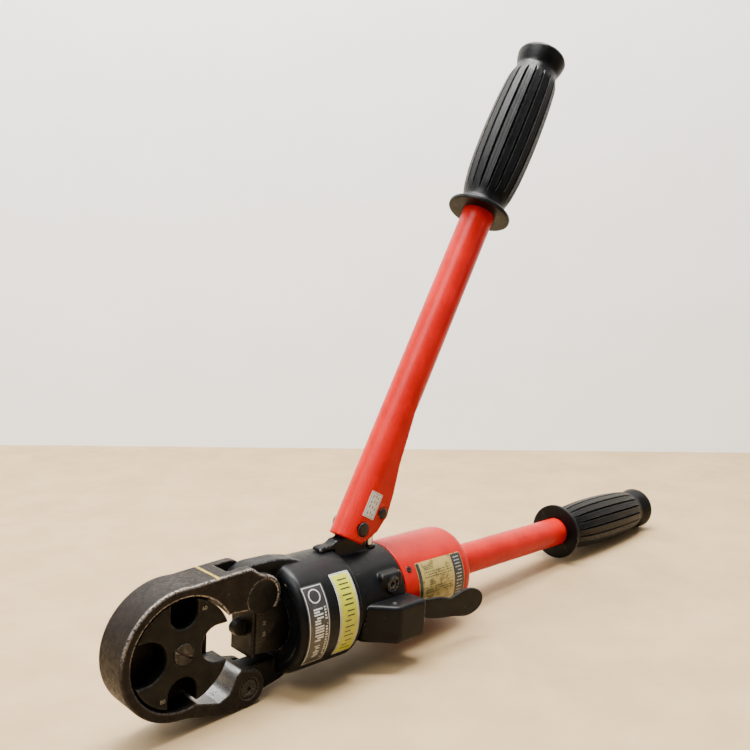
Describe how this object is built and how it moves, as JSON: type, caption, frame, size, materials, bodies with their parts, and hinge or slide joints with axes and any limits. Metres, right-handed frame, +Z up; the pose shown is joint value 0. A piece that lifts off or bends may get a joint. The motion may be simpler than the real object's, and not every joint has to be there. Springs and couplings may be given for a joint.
{
  "type": "hydraulic crimping tool",
  "caption": "Hand-pumped hydraulic crimping tool for cable lugs, with a revolving grooved die in a black yoke, a red oil reservoir and two long handles with black rubber grips.",
  "frame": {"origin": "middle of the bounding box at its base, the level of the surface that the tool lies on", "axes": "+X along the tool from the die to the rear grip, +Y along the revolving die's axis away from its face, +Z up, as the tool rests on its yoke boss and rear grip with the pump handle raised"},
  "size_m": [0.6034, 0.09, 0.4587],
  "materials": {
    "dark_cast_steel": "dark oiled cast steel, worn bright on the edges",
    "die_steel": "dark ground tool steel",
    "bright_steel": "bright ground steel",
    "pin_steel": "blackened steel",
    "black_paint": "black satin paint",
    "red_paint": "red paint, semi-gloss, scratched",
    "black_rubber": "moulded, semi-gloss",
    "seal_rubber": "moulded, matte",
    "yellow_label": "printed film label",
    "black_label": "printed film label",
    "plate_metal": "stained thin metal plate",
    "white_label": "printed film label"
  },
  "bodies": {
    "tool_body": {"yoke": "dark_cast_steel", "die_pivot_screw": "bright_steel", "die_detent_ball": "bright_steel", "die_detent_plug": "pin_steel", "yoke_upper_pin": "pin_steel", "yoke_lower_pin": "pin_steel", "front_pin_cap": "dark_cast_steel", "rear_pin_cap": "dark_cast_steel", "cylinder_body": "black_paint", "ram_return_spring": "bright_steel", "spring_stay_rod": "pin_steel", "ram_seal": "seal_rubber", "pump_body": "black_paint", "plunger_gland": "pin_steel", "plunger_seal": "seal_rubber", "suction_valve_ball": "bright_steel", "delivery_valve_ball": "bright_steel", "relief_valve_ball": "bright_steel", "relief_plug": "pin_steel", "fixed_grip": "black_rubber", "fixed_handle_tube": "red_paint", "reservoir_tube": "red_paint", "oil_bladder": "seal_rubber", "reservoir_set_screw": "pin_steel", "release_guard": "black_paint", "release_lever_pin": "pin_steel", "model_label": "black_label", "yellow_label": "yellow_label", "spec_plate": "plate_metal"},
    "female_die": {"female_die_disc": "die_steel"},
    "ram": {"ram": "die_steel", "punch": "die_steel", "punch_screw": "pin_steel", "spring_seat_ring": "pin_steel"},
    "plunger": {"plunger": "bright_steel"},
    "pump_handle": {"movable_handle": "red_paint", "movable_grip": "black_rubber", "handle_pivot_pin": "pin_steel", "handle_pivot_pin_clip": "pin_steel", "plunger_pin": "pin_steel", "plunger_pin_clip": "pin_steel", "handle_label": "white_label"},
    "release_lever": {"release_lever": "black_paint"},
    "release_valve": {"release_valve_pin": "bright_steel"}
  },
  "joints": [
    {"name": "die_spin", "type": "hinge", "parent": "tool_body", "child": "female_die", "pos_m": [-0.26031, 0.007, 0.05182], "axis": [0, 1, 0], "continuous": true},
    {"name": "ram_slide", "type": "slide", "parent": "tool_body", "child": "ram", "axis": [-0.9983, 0, 0.0577], "range_m": [0, 0.0105], "stiffness_N_per_m": 1500, "deforming": ["ram_return_spring"]},
    {"name": "handle_swing", "type": "hinge", "parent": "tool_body", "child": "pump_handle", "pos_m": [-0.11369, 0.007, 0.09473], "axis": [0, 1, 0], "range_deg": [0, 50]},
    {"name": "plunger_slide", "type": "slide", "parent": "tool_body", "child": "plunger", "axis": [-0.0577, 0, -0.9983], "range_m": [0, 0.018]},
    {"name": "release_lever_tilt", "type": "hinge", "parent": "tool_body", "child": "release_lever", "pos_m": [-0.1107, -0.03499, 0.04077], "axis": [0.0577, 0, 0.9983], "range_deg": [0, 10], "stiffness_Nm_per_rad": 0.8},
    {"name": "release_valve_slide", "type": "slide", "parent": "tool_body", "child": "release_valve", "axis": [0, 1, 0], "range_m": [0, 0.0026]}
  ],
  "couplings": [
    {"joint": "plunger_slide", "follows": "handle_swing", "m_per_rad": 0.02005},
    {"joint": "release_valve_slide", "follows": "release_lever_tilt", "m_per_rad": 0.014}
  ]
}
